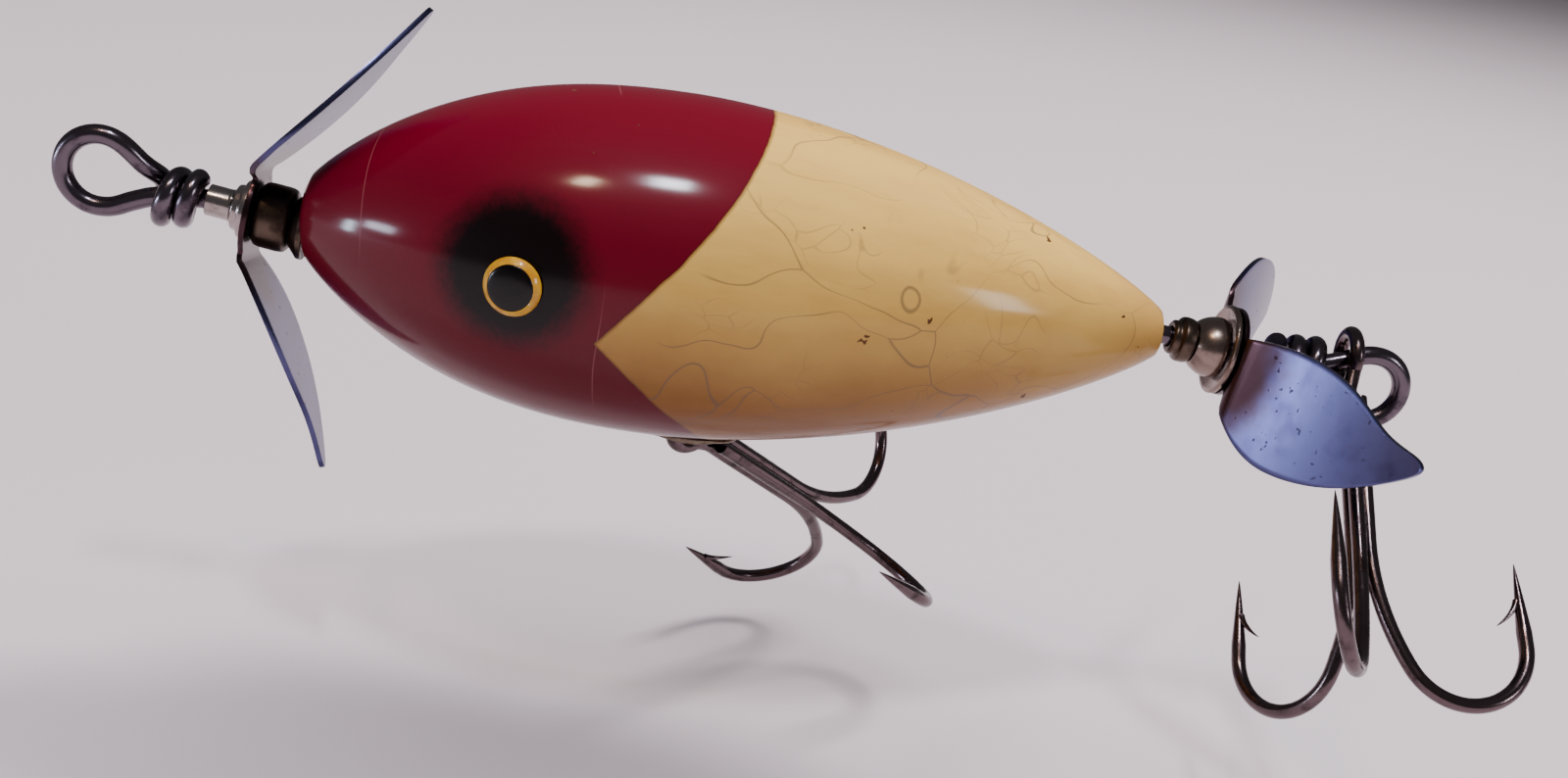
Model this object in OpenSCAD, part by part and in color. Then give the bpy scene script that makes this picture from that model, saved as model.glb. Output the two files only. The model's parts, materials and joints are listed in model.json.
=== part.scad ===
// Wooden surface lure with a propeller at each end and two treble hooks.
// Millimetres. The origin is the centre of the front line-tie loop, +X runs towards the
// tail and +Z is up. Each end's hardware is drawn on its own wire axis: local Z runs
// outwards from the body along the wire.

/* [Wooden body] */
// Length of the turned body
body_l = 74.9; // [74:0.1:78]
// Largest diameter of the body
body_d = 29.7; // [29:0.1:30.5]
// Distance from the nose to the largest diameter
belly_at = 31.5; // [31:0.1:34]
// Radius of the flat nose
nose_r = 3.1; // [2.9:0.1:3.3]
// Radius where the tail is rounded off
tail_r = 2.0; // [1.8:0.1:2.2]

/* [Wire] */
// Diameter of the through wire
wire_d = 1.7; // [1.5:0.05:1.75]
// Radius of the line-tie and tail loops, to the middle of the wire
loop_r = 3.1; // [3:0.05:3.2]
// Distance from the nose to the centre of the front loop
front_loop_at = 17.4; // [17.2:0.1:17.8]
// Distance from the tail to the centre of the rear loop
rear_loop_at = 20.3; // [20:0.1:20.6]
// Droop of the front wire towards the nose, in degrees
front_tilt = 7.5; // [6:0.1:8]
// Droop of the rear wire away from the tail, in degrees
rear_tilt = 6.9; // [6:0.1:8]
// Height of the body axis above the point where the wire enters the nose
nose_rise = 1.0; // [0.8:0.1:1.2]

/* [Propellers] */
// Length of a blade from its bend to its tip
blade_l = 19.3; // [18:0.1:19.6]
// Angle by which the blades are bent back
blade_sweep = 32.7; // [30:0.1:33]
// Thickness of the propeller sheet
sheet_t = 0.45; // [0.4:0.05:0.5]
// Pitch of each blade, in degrees
blade_pitch = -2.5; // [-5:0.5:5]
// Radius of the flat hub
hub_r = 4.0; // [3.8:0.1:4.1]

/* [Treble hooks] */
// Diameter of the hook wire
hook_d = 1.3; // [1.2:0.05:1.35]
// Length from the eye's centre to the bottom of the bend
hook_l = 31.1; // [30.5:0.1:31.5]
// Radius of the treble's eye, to the middle of the wire
hook_eye_r = 2.1; // [2.05:0.05:2.2]

/* [Belly hanger] */
// Distance from the nose to the belly hanger
hanger_at = 34.7; // [34:0.1:37]
// Depth of the hook cup below the belly line
cup_depth = 4.9; // [4.8:0.1:5.2]
// Outside radius of the hook cup
cup_r = 4.2; // [4.1:0.1:4.4]

/* [Eyes] */
// Distance from the nose to the eyes
eye_at = 19.2; // [18.8:0.1:19.8]
// Diameter of an eye tack's head
eye_d = 4.85; // [4.7:0.05:5]
// Height of the eyes above the body's mid-plane, in degrees
eye_lift = 2; // [0:1:5]

/* [Hidden] */

$fn = 64;
wire_r = wire_d / 2;
hook_r = hook_d / 2;
body_r = body_d / 2;
running_gap = 0.08;          // radial clearance of every loose piece on the wire
bore_r = wire_r + running_gap;
sides = 12;                  // sides of a swept wire
nose_x = front_loop_at * cos(front_tilt);
nose_z = -front_loop_at * sin(front_tilt);
tail_x = nose_x + body_l;
axis_z = nose_z + nose_rise;

// Places along each wire, measured outwards from the body
seat_depth = 0.35;
bead_gap = 0.06;             // axial clearance between neighbouring pieces
cup_h = 1.0;                 // height of the nose cup washer
front_bead_at = cup_h + bead_gap;
front_hub_at = 4.1;
front_step_at = front_hub_at + sheet_t + bead_gap;
front_sleeve_at = front_step_at + 1.5 + bead_gap;
front_wrap_at = front_sleeve_at + 2.1 + bead_gap;
tail_step_at = 1.1;
tail_dome_at = tail_step_at + 2.1 + bead_gap;
tail_washer_at = tail_dome_at + 2.4 + bead_gap;
rear_hub_at = 6.45;
front_spin = 8.8;            // how far each propeller is turned about its wire
rear_spin = 90.5;
rear_sleeve_at = rear_hub_at + sheet_t + 0.3;
rear_wrap_at = rear_sleeve_at + 2.7 + bead_gap;
sag = 0.9;                   // the lead is pulled this far off the wire's axis at the coil
front_wraps = 2;
rear_wraps = 2.5;
wrap_pitch = wire_d + 0.06;
wrap_r = wire_d + 0.1;

// Belly hanger
hanger_x = nose_x + hanger_at;
belly_z = axis_z - body_r;
cup_wall = 0.35;
rim_t = 0.3;
screw_r = 0.7;
screw_wire_r = 0.65;
screw_ring_r = 1.7;
screw_l = 8.7;               // from the ring's top to the screw's point
pivot_rise = 0.4;            // the treble's pivot sits this far above the belly line
hanger_turn = 48.0;          // the screw eye stands turned by this angle
screw_at = 2 * screw_ring_r + pivot_rise;

// Treble hooks
belly_lean = 57.6;
belly_turn = -10.8;
rear_lean = 44.8;
rear_turn = -3;
rear_eye_at = 17.6;          // where the treble's eye sits along the rear wire
hook_side = hook_r / cos(30) + 0.02;
shank_from = 3.6;
bend_r = 5.4;
flare_r = 21.6;
flare = 29.9;
point_lean = 2.9;
point_l = 7.2;
barb_l = 2.7;
flare_from = hook_l - flare_r * sin(flare) - bend_r * (1 - sin(flare));

// Eye tacks
eye_pin_r = 0.5;
eye_pin_l = 6;

// ---- points and paths ----

function unit(v) = v / norm(v);

// Cubic B-spline through a list of control points, n points per span
function bspline(p, n) = [for (i = [0 : len(p) - 4], k = [0 : n - 1]) let (t = k / n)
    (pow(1 - t, 3) * p[i] + (3 * pow(t, 3) - 6 * t * t + 4) * p[i + 1]
     + (-3 * pow(t, 3) + 3 * t * t + 3 * t + 1) * p[i + 2] + pow(t, 3) * p[i + 3]) / 6];

// A frame carried along the path without twisting
function carry(u, t) = unit(u - (u * t) * t);
function tangents(p) = [for (i = [0 : len(p) - 1])
    unit(p[min(i + 1, len(p) - 1)] - p[max(i - 1, 0)])];
function frames(t, u0) = [for (i = 0, u = carry(u0, t[0]); i < len(t);
    i = i + 1, u = i < len(t) ? carry(u, t[i]) : u) u];

// Round wire swept along a path, with a radius for each point
module sweep(p, r, u0 = [0, 1, 0]) {
    t = tangents(p);
    u = frames(t, u0);
    n = len(p);
    points = [for (i = [0 : n - 1], k = [0 : sides - 1]) let (a = 360 * k / sides)
        p[i] + r[i] * (cos(a) * u[i] + sin(a) * cross(t[i], u[i]))];
    walls = [for (i = [0 : n - 2], k = [0 : sides - 1]) let (j = (k + 1) % sides,
        a = i * sides + k, b = i * sides + j)
        each [[a, a + sides, b + sides], [a, b + sides, b]]];
    start = [for (k = [0 : sides - 1]) k];
    end = [for (k = [sides - 1 : -1 : 0]) (n - 1) * sides + k];
    polyhedron(points, concat(walls, [start, end]));
}

// Straight round rod between two points
module rod(a, b, r) {
    d = b - a;
    translate(a)
        rotate([0, acos(d.z / norm(d)), atan2(d.y, d.x)])
            cylinder(r = r, h = norm(d));
}

module on_front_wire() {
    translate([nose_x, 0, nose_z]) rotate([0, front_tilt - 90, 0]) children();
}

module on_rear_wire() {
    translate([tail_x, 0, axis_z]) rotate([0, rear_tilt + 90, 0]) children();
}

// Turned piece with a wire bore, from its outline of [radius, height] points
module turned(outline) {
    rotate_extrude() polygon(outline);
}

// ---- body ----

function nose_profile(t) = nose_r + (body_r - nose_r)
    * pow(1 - pow((belly_at - t) / belly_at, 2.4), 0.865);
function tail_profile(t) = tail_r + (body_r - tail_r)
    * pow(max(0, 1 - pow((t - belly_at) / (body_l - belly_at), 1.76)), 0.875);
function body_profile(t) = t < belly_at ? nose_profile(t) : tail_profile(t);

module wood_body() {
    steps = 40;
    inner = [body_l, axis_z - nose_z];
    color("firebrick") difference() {
        translate([nose_x, 0, axis_z]) rotate([0, 90, 0]) rotate_extrude()
            polygon(concat([[0, 0]],
                [for (i = [0 : steps]) let (t = body_l * (1 - cos(180 * i / steps)) / 2)
                    [body_profile(t), t]],
                [[0, body_l]]));
        rod([nose_x - 1, 0, nose_z - inner.y / inner.x],
            [tail_x + 1, 0, axis_z + inner.y / inner.x], bore_r);
        on_front_wire() translate([0, 0, -seat_depth]) cylinder(r = nose_r + 0.1, h = 3);
        on_front_wire() translate([0, 0, -1]) cylinder(r = bore_r, h = 3);
        on_rear_wire() translate([0, 0, -1]) cylinder(r = bore_r, h = 3);
        translate([hanger_x, 0, belly_z - 1]) cylinder(r = cup_r + 0.02, h = 1 + cup_depth);
        translate([hanger_x, 0, belly_z]) cylinder(r = screw_r, h = screw_at + screw_l + 0.1);
        for (side = [-1, 1]) at_eye(side) translate([0, 0, -eye_pin_l - 0.1])
            cylinder(r = eye_pin_r, h = eye_pin_l + 1);
    }
}

// ---- through wire ----

// Where the lead starts to bend away into the loop, and the angle at which it does
function coil_end(wrap_at, wraps) = wrap_at + wire_r + wraps * wrap_pitch;
function mouth(wrap_at, wraps) = coil_end(wrap_at, wraps) - 0.1;
function open_angle(centre, wrap_at, wraps) = let (reach = centre - mouth(wrap_at, wraps))
    asin(loop_r / norm([reach, sag])) - atan(sag / reach);

// One end of the wire: straight lead, pear-shaped open loop, then a leg that passes behind
// the lead and is wrapped back round it. The first coil is at wrap_at.
function end_points(centre, wrap_at, wraps) = let (
        h = open_angle(centre, wrap_at, wraps),
        start = mouth(wrap_at, wraps),
        back_angle = 30,
        step = (180 + h + back_angle) / 7,
        r = loop_r * 3 / (2 + cos(step)),
        coil_r = wrap_r * 3 / (2 + cos(45)),
        joins = [-loop_r * cos(h), 0, centre - loop_r * sin(h)],
        lead = [for (z = [0.7, 3, wrap_at - 1, wrap_at + 0.6]) [0, 0, z]],
        pulled = [for (z = [start - 2, start]) [-sag * (z - wrap_at) / (start - wrap_at), 0, z]],
        away = [for (k = [0.33, 0.67]) [-sag, 0, start] * (1 - k) + joins * k],
        round = [for (k = [0 : 7]) let (a = k * step - 90 - h)
            [r * sin(a), 0, centre + r * cos(a)]],
        leg = [[wrap_r + 0.2 - sag, 0.5, start + 1.5]],
        coils = [for (a = [45 : 45 : 360 * wraps + 45])
            let (z = coil_end(wrap_at, wraps) - wrap_pitch * a / 360)
            [coil_r * cos(a) - sag * (z - wrap_at) / (start - wrap_at), coil_r * sin(a), z]])
    concat(lead, pulled, away, round, leg, coils);

// A point drawn in the frame of a wire that starts at base and is tipped over by turn
function from_wire(p, base, turn) = base
    + [p.x * cos(turn) + p.z * sin(turn), p.y, p.z * cos(turn) - p.x * sin(turn)];

module through_wire() {
    front = [for (p = end_points(front_loop_at, front_wrap_at, front_wraps))
        from_wire(p, [nose_x, 0, nose_z], front_tilt - 90)];
    rear = [for (p = end_points(rear_loop_at, rear_wrap_at, rear_wraps))
        from_wire(p, [tail_x, 0, axis_z], rear_tilt + 90)];
    core = [for (k = [0 : 0.25 : 1]) [nose_x + k * body_l, 0, nose_z + k * nose_rise]];
    path = bspline(concat(reversed(front), core, rear), 3);
    color("dimgray") sweep(path, [for (p = path) wire_r]);
}

// ---- beads, washers and sleeves ----

// Outlines are [radius, height] with height measured outwards along the wire

module nose_cup_washer() {
    color("darkgoldenrod") on_front_wire() turned([[bore_r, 0.15], [1.5, 0.15],
        [nose_r - 0.4, -seat_depth], [nose_r - 0.1, -seat_depth], [nose_r - 0.1, 0.1],
        [2.1, cup_h], [bore_r, cup_h]]);
}

module front_barrel_bead() {
    color("darkgoldenrod") on_front_wire() translate([0, 0, front_bead_at])
        turned([[bore_r, 0], [2.45, 0], [2.75, 0.25], [2.83, 0.7], [2.83, 2.25],
            [2.75, 2.7], [2.45, 2.96], [bore_r, 2.96]]);
}

module front_step_bead() {
    color("tan") on_front_wire() translate([0, 0, front_step_at])
        turned([[bore_r, 0], [2.5, 0], [2.6, 0.15], [2.5, 0.7], [2.05, 0.75],
            [1.95, 1.35], [1.6, 1.5], [bore_r, 1.5]]);
}

module front_sleeve() {
    color("silver") on_front_wire() translate([0, 0, front_sleeve_at])
        turned([[bore_r, 0], [1.45, 0], [1.36, 0.3], [1.36, 2.1], [bore_r, 2.1]]);
}

module tail_step_bead() {
    color("darkgoldenrod") on_rear_wire() translate([0, 0, tail_step_at])
        turned([[bore_r, 0], [1.35, 0], [1.55, 0.2], [1.55, 0.65], [2.0, 0.85],
            [2.05, 1.3], [2.0, 1.85], [1.75, 2.1], [bore_r, 2.1]]);
}

// A ball bead cut flat on the side that bears on the washer
module tail_dome_bead() {
    ball_r = 2.75;
    color("darkgoldenrod") on_rear_wire() translate([0, 0, tail_dome_at])
        rotate_extrude() difference() {
            intersection() {
                translate([0, ball_r - 0.7]) circle(r = ball_r);
                square([ball_r + 0.1, 2.4]);
            }
            square([bore_r, 3]);
        }
}

module tail_cup_washer() {
    color("saddlebrown") on_rear_wire() translate([0, 0, tail_washer_at + 0.25])
        turned([[bore_r, 0], [2.6, 0], [3.7, -0.25], [4.05, -0.15], [4.05, 0.2],
            [2.7, 0.42], [bore_r, 0.42]]);
}

module rear_sleeve() {
    color("silver") on_rear_wire() translate([0, 0, rear_sleeve_at])
        turned([[bore_r, 0], [2.0, 0], [2.0, 0.5], [1.4, 0.6], [1.36, 2.7], [bore_r, 2.7]]);
}

// ---- propellers ----

// Leaf outline of a blade: one side full and round, the other hollowed near the tip
function blade_outline() = bspline(let (l = blade_l, p = [[0, -4.6], [1.2, -5.9], [4.8, -7.75],
    [11.0, -6.3], [15.2, -3.9], [l - 0.1, -0.85], [l + 0.35, 0.1], [l - 0.6, 0.75],
    [15.1, 0.7], [11.5, 2.8], [7.15, 3.7], [3.0, 3.4], [0, 2.6]])
    concat([p[0], p[0]], p, [p[12], p[12]]), 5);

bend_at = 3.9;               // distance from the wire to the bend
dish = 0.36;                 // depth of the curve across the length of a blade

// A blade lies on a gently curved sheet, bent back from the flat hub
module blade() {
    curve_r = 70;
    translate([bend_at, 0, 0]) rotate([0, blade_sweep, 0]) rotate([blade_pitch, 0, 0])
        intersection() {
            translate([0, 0, -2]) linear_extrude(4) polygon(blade_outline());
            translate([9, 10, curve_r - dish + sheet_t / 2]) rotate([90, 0, 0]) difference() {
                cylinder(r = curve_r + sheet_t, h = 20, $fn = 300);
                translate([0, 0, -1]) cylinder(r = curve_r, h = 22, $fn = 300);
            }
        }
    // flat root between the hub and the bend
    linear_extrude(sheet_t) polygon([[1.5, -2.8], [bend_at - 0.6, -4.0], [bend_at + 0.1, -4.6],
        [bend_at + 0.1, 2.6], [1.5, 2.6]]);
}

// Two blades on a flat hub; towards says which way along local Z the blades are bent
module propeller() {
    difference() {
        union() {
            cylinder(r = hub_r, h = sheet_t);
            for (a = [0, 180]) rotate([0, 0, a]) blade();
        }
        translate([0, 0, -3]) cylinder(r = bore_r, h = 6);
    }
}

module front_propeller() {
    color("slategray") on_front_wire() translate([0, 0, front_hub_at])
        rotate([0, 0, front_spin]) propeller();
}

module rear_propeller() {
    color("steelblue") on_rear_wire() translate([0, 0, rear_hub_at + sheet_t])
        rotate([180, 0, rear_spin]) propeller();
}

// ---- treble hooks ----

// A treble hangs along local -Z from its eye at the origin. The eye's hole and the single
// hook both point along local X; the double hook is one wire that also forms the eye.

// Centre line of one hook in its own plane, [distance out, height], from shank to point
function hook_line(top) = let (
        a = [hook_side, -flare_from],
        b = a + flare_r * [1 - cos(flare), -sin(flare)],
        c = b + bend_r * [cos(flare) + cos(point_lean), sin(flare) + sin(point_lean)],
        last = 180 + point_lean)
    concat([for (k = [0 : 3]) [hook_side, top + (a.y - top) * k / 4]],
        [for (k = [0 : 4]) let (h = flare * k / 5) a + flare_r * [1 - cos(h), -sin(h)]],
        [for (k = [0 : 14]) let (h = flare + (last - flare) * k / 14)
            b + bend_r * [cos(flare) - cos(h), sin(flare) - sin(h)]],
        [for (k = [1 : 5]) c + point_l * k / 5 * [-sin(point_lean), cos(point_lean)]]);

function turned_out(line, around) = [for (p = line) [p.x * cos(around), p.x * sin(around), p.y]];
function reversed(p) = [for (i = [len(p) - 1 : -1 : 0]) p[i]];

// Full wire, ground down to a point over the last straight
function hook_radii(n) = [for (i = [0 : n - 1]) let (k = n - 1 - i)
    k >= 4 ? hook_r : hook_r * (k + 0.25) / 4.25];

module barb(around) {
    root = hook_line(0)[len(hook_line(0)) - 3];
    rotate([0, 0, around]) translate([root.x - 0.25, 0, root.y + 0.6])
        rotate([0, 198, 0]) cylinder(r1 = 0.3, r2 = 0.05, h = barb_l);
}

module double_hook() {
    line = hook_line(-shank_from);
    eye = [for (a = [-150 : 25 : 150]) hook_eye_r * [0, sin(a), cos(a)]];
    radii = hook_radii(len(line));
    sweep(concat(reversed(turned_out(line, 240)), eye, turned_out(line, 120)),
        concat(reversed(radii), [for (p = eye) hook_r], radii), [1, 0, 0]);
    for (a = [120, 240]) barb(a);
}

module single_hook() {
    line = turned_out(hook_line(-shank_from - 0.4), 0);
    sweep(line, hook_radii(len(line)));
    barb(0);
}

// The belly treble hangs from the screw eye, leaning back and away to one side
module on_belly_treble() {
    hang = hook_eye_r - hook_r - screw_wire_r - 0.05;
    translate([hanger_x, 0, belly_z + pivot_rise])
        rotate([0, 0, -hanger_turn]) rotate([belly_lean, 0, 0]) rotate([0, 0, belly_turn])
            translate([0, 0, -hang]) children();
}

// The rear treble hangs on the lead of the rear loop, just before the round of the loop
module on_rear_treble() {
    hang = -0.3;
    rise = sag + (rear_eye_at - mouth(rear_wrap_at, rear_wraps))
        * tan(open_angle(rear_loop_at, rear_wrap_at, rear_wraps));
    on_rear_wire() translate([-rise, 0, rear_eye_at])
        rotate([0, -rear_tilt - 90, 0]) rotate([-rear_lean, 0, 0]) rotate([0, 0, rear_turn])
            translate([0, 0, -hang]) children();
}

module belly_double_hook() { color("darkslategray") on_belly_treble() double_hook(); }
module belly_single_hook() { color("dimgray") on_belly_treble() single_hook(); }
module rear_double_hook() { color("darkslategray") on_rear_treble() double_hook(); }
module rear_single_hook() { color("dimgray") on_rear_treble() single_hook(); }

// ---- belly hanger ----

// Pressed cup let into the belly, with a rim that follows the round of the body
module belly_hook_cup() {
    color("goldenrod") translate([hanger_x, 0, belly_z]) difference() {
        union() {
            translate([0, 0, -0.6]) cylinder(r = cup_r, h = cup_depth + 0.6);
            translate([0, 0, -0.6]) cylinder(r = cup_r + 1.0, h = 2.6);
        }
        translate([0, 0, -1]) cylinder(r = cup_r - cup_wall, h = cup_depth + 1 - cup_wall);
        cylinder(r = screw_r + 0.03, h = 5);
        difference() {
            translate([-8, -8, -3]) cube([16, 16, 6]);
            translate([-9, 0, body_r]) rotate([0, 90, 0])
                cylinder(r = body_r + rim_t, h = 18, $fn = 180);
        }
        difference() {
            translate([-9, 0, body_r]) rotate([0, 90, 0])
                cylinder(r = body_r + 0.05, h = 18, $fn = 180);
            translate([0, 0, -2]) cylinder(r = cup_r, h = 8);
        }
    }
}

module belly_screw_eye() {
    threads = 7;
    pitch = 1.0;
    depth = 0.18;
    plain = screw_l - threads * pitch - 0.7;
    color("darkgoldenrod") translate([hanger_x, 0, belly_z]) rotate([0, 0, -hanger_turn]) {
        translate([0, 0, screw_ring_r + pivot_rise]) rotate([90, 0, 0]) rotate_extrude()
            translate([screw_ring_r, 0]) circle(r = screw_wire_r, $fn = 32);
        translate([0, 0, screw_at]) rotate_extrude() polygon(concat(
            [[0, 0], [screw_r, 0], [screw_r, plain]],
            [for (i = [0 : threads - 1]) each [[screw_r - depth, plain + i * pitch],
                [screw_r, plain + (i + 0.5) * pitch]]],
            [[screw_r - depth, screw_l - 0.7], [0, screw_l]]));
    }
}

// ---- eyes ----

// Local Z points out of the wood; side is -1 for the left eye and 1 for the right one
module at_eye(side) {
    slope = atan((body_profile(eye_at + 1) - body_profile(eye_at - 1)) / 2);
    translate([nose_x + eye_at, 0, axis_z]) rotate([side * (eye_lift - 90), 0, 0])
        translate([0, 0, body_profile(eye_at)]) rotate([0, -slope, 0]) children();
}

module eye_tack() {
    r = eye_d / 2;
    rotate_extrude() polygon([[0, -eye_pin_l], [eye_pin_r, -eye_pin_l + 0.8],
        [eye_pin_r, 0.03], [r - 0.1, 0.03], [r, 0.15], [r * 0.96, 0.4], [r * 0.86, 0.62],
        [r * 0.7, 0.8], [r * 0.45, 0.95], [r * 0.2, 1.0], [0, 1.02]]);
}

module left_eye_tack() { color("gold") at_eye(-1) eye_tack(); }
module right_eye_tack() { color("gold") at_eye(1) eye_tack(); }

wood_body();
through_wire();
nose_cup_washer();
front_barrel_bead();
front_propeller();
front_step_bead();
front_sleeve();
tail_step_bead();
tail_dome_bead();
tail_cup_washer();
rear_propeller();
rear_sleeve();
belly_hook_cup();
belly_screw_eye();
belly_double_hook();
belly_single_hook();
rear_double_hook();
rear_single_hook();
left_eye_tack();
right_eye_tack();
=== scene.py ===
"""Fine pieces, materials, light and camera for the wooden double-propeller surface lure."""
import json
from math import asin, atan2, cos, pi, radians, sin, sqrt

import bpy
from mathutils import Matrix, Vector

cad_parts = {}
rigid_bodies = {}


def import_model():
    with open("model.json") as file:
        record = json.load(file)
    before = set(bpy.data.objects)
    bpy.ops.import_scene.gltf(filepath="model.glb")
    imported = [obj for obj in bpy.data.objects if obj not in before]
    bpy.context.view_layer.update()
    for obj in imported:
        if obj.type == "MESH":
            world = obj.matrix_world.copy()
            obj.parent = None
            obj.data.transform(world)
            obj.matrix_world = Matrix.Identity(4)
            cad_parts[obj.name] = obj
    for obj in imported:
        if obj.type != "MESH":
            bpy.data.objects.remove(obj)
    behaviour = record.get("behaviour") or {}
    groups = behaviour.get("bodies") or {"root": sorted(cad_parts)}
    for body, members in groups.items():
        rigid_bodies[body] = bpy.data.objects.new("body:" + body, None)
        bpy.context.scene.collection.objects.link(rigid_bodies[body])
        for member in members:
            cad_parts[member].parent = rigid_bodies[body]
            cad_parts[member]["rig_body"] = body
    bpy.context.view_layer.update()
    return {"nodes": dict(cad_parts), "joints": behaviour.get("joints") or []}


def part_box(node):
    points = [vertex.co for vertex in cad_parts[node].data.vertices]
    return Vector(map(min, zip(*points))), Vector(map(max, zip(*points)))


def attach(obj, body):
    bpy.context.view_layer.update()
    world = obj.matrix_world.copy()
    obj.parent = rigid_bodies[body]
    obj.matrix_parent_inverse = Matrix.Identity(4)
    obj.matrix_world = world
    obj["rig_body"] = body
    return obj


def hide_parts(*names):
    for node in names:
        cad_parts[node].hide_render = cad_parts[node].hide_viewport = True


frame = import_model()

MM = 0.001
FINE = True

# ---- places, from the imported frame, in millimetres ----

joints = {j["name"]: j for j in frame["joints"]}


def mm(v):
    return Vector(v) / MM


def corner(node, which):
    return mm(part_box(node)[which])


def wire_frame(joint, x_at, up):
    """Origin where the wire leaves the wood at x_at; local Z runs outwards along the wire."""
    axis = Vector(joints[joint]["axis"]).normalized()
    pos = mm(joints[joint]["pos_m"])
    origin = pos + axis * ((x_at - pos.x) / axis.x)
    x = (up - axis * up.dot(axis)).normalized()
    return Matrix.Translation(origin) @ Matrix((x, axis.cross(x), axis)).transposed().to_4x4()


nose_x = corner("wood_body", 0).x
tail_x = corner("wood_body", 1).x
body_l = tail_x - nose_x
front = wire_frame("front_prop_spin", nose_x, Vector((0, 0, 1)))
rear = wire_frame("rear_prop_spin", tail_x, Vector((0, 0, -1)))
nose = front.translation
tail = rear.translation
axis_z = tail.z
swing = joints["belly_treble_swing"]
belly_pivot = mm(swing["pos_m"])
hanger_turn = atan2(swing["axis"][1], swing["axis"][0])
rear_pivot = mm(joints["rear_treble_swing"]["pos_m"])
FLOOR_GAP = 4.0    # room for the belly treble to swing above the floor
floor_z = corner("belly_double_hook", 0).z - FLOOR_GAP

# ---- curves ----


def bspline(p, n):
    """Cubic B-spline through control points p, n points for each span."""
    out = []
    for i in range(len(p) - 3):
        for k in range(n):
            t = k / n
            out.append(((1 - t) ** 3 * p[i] + (3 * t ** 3 - 6 * t * t + 4) * p[i + 1]
                        + (-3 * t ** 3 + 3 * t * t + 3 * t + 1) * p[i + 2] + t ** 3 * p[i + 3]) / 6)
    return out


def eased(outline, r, steps=4):
    """Rounds each corner of a closed outline with a small curve."""
    out = []
    for i, b in enumerate(outline):
        a, c = outline[i - 1], outline[(i + 1) % len(outline)]
        cut = min(r, (a - b).length * 0.4, (c - b).length * 0.4)
        p, q = b + (a - b).normalized() * cut, b + (c - b).normalized() * cut
        for k in range(steps + 1):
            t = k / steps
            out.append((1 - t) ** 2 * p + 2 * t * (1 - t) * b + t * t * q)
    return out


# ---- meshes: every one is built in millimetres and stored in metres ----


def piece(name, verts, faces, sharp=40):
    """Smooth-shaded mesh object, with edges above the sharp angle in degrees kept crisp."""
    mesh = bpy.data.meshes.new(name)
    mesh.from_pydata([v * MM for v in verts], [], faces)
    mesh.validate()
    mesh.polygons.foreach_set("use_smooth", [True] * len(mesh.polygons))
    mesh.set_sharp_from_angle(angle=radians(sharp))
    obj = bpy.data.objects.new(name, mesh)
    bpy.context.scene.collection.objects.link(obj)
    return obj


def tube(name, path, radii, sides=24, up=Vector((0, 1, 0))):
    """Round wire along a path, closed at both ends."""
    n = len(path)
    verts, faces = [], []
    u = up
    for i, p in enumerate(path):
        t = (path[min(i + 1, n - 1)] - path[max(i - 1, 0)]).normalized()
        u = (u - t * u.dot(t)).normalized()
        v = t.cross(u)
        for k in range(sides):
            a = 2 * pi * k / sides
            verts.append(p + radii[i] * (cos(a) * u + sin(a) * v))
    for i in range(n - 1):
        for k in range(sides):
            j = (k + 1) % sides
            faces.append((i * sides + k, i * sides + j, (i + 1) * sides + j, (i + 1) * sides + k))
    faces.append(tuple(range(sides - 1, -1, -1)))
    faces.append(tuple(range((n - 1) * sides, n * sides)))
    return piece(name, verts, faces, 50)


def lathe(name, outline, place, sides=96):
    """Closed outline of (radius, height) turned about the local Z of a 4x4 placement."""
    n = len(outline)
    verts = [place @ Vector((p.x * cos(2 * pi * k / sides), p.x * sin(2 * pi * k / sides), p.y))
             for k in range(sides) for p in outline]
    faces = [(k * n + i, k * n + (i + 1) % n, (k + 1) % sides * n + (i + 1) % n,
              (k + 1) % sides * n + i) for k in range(sides) for i in range(n)]
    return piece(name, verts, [f[::-1] for f in faces])


def solid_lathe(name, profile, place, sides=96):
    """Open profile of (radius, height) from pole to pole; its two ends are on the axis."""
    ring, n = profile[1:-1], len(profile) - 2
    verts = [place @ Vector((p.x * cos(2 * pi * k / sides), p.x * sin(2 * pi * k / sides), p.y))
             for k in range(sides) for p in ring]
    verts += [place @ Vector((0, 0, profile[0].y)), place @ Vector((0, 0, profile[-1].y))]
    low, high = len(verts) - 2, len(verts) - 1
    faces = []
    for k in range(sides):
        j = (k + 1) % sides
        faces += [(k * n + i, j * n + i, j * n + i + 1, k * n + i + 1) for i in range(n - 1)]
        faces += [(low, j * n, k * n), (high, k * n + n - 1, j * n + n - 1)]
    return piece(name, verts, faces)


def cut(obj, tool):
    """Takes tool away from obj for good."""
    mod = obj.modifiers.new("cut", "BOOLEAN")
    mod.operation, mod.solver, mod.object = "DIFFERENCE", "EXACT", tool
    depsgraph = bpy.context.evaluated_depsgraph_get()
    mesh = bpy.data.meshes.new_from_object(obj.evaluated_get(depsgraph))
    obj.modifiers.clear()
    obj.data = mesh
    bpy.data.objects.remove(tool)
    return obj


# ---- shader building ----


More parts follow.
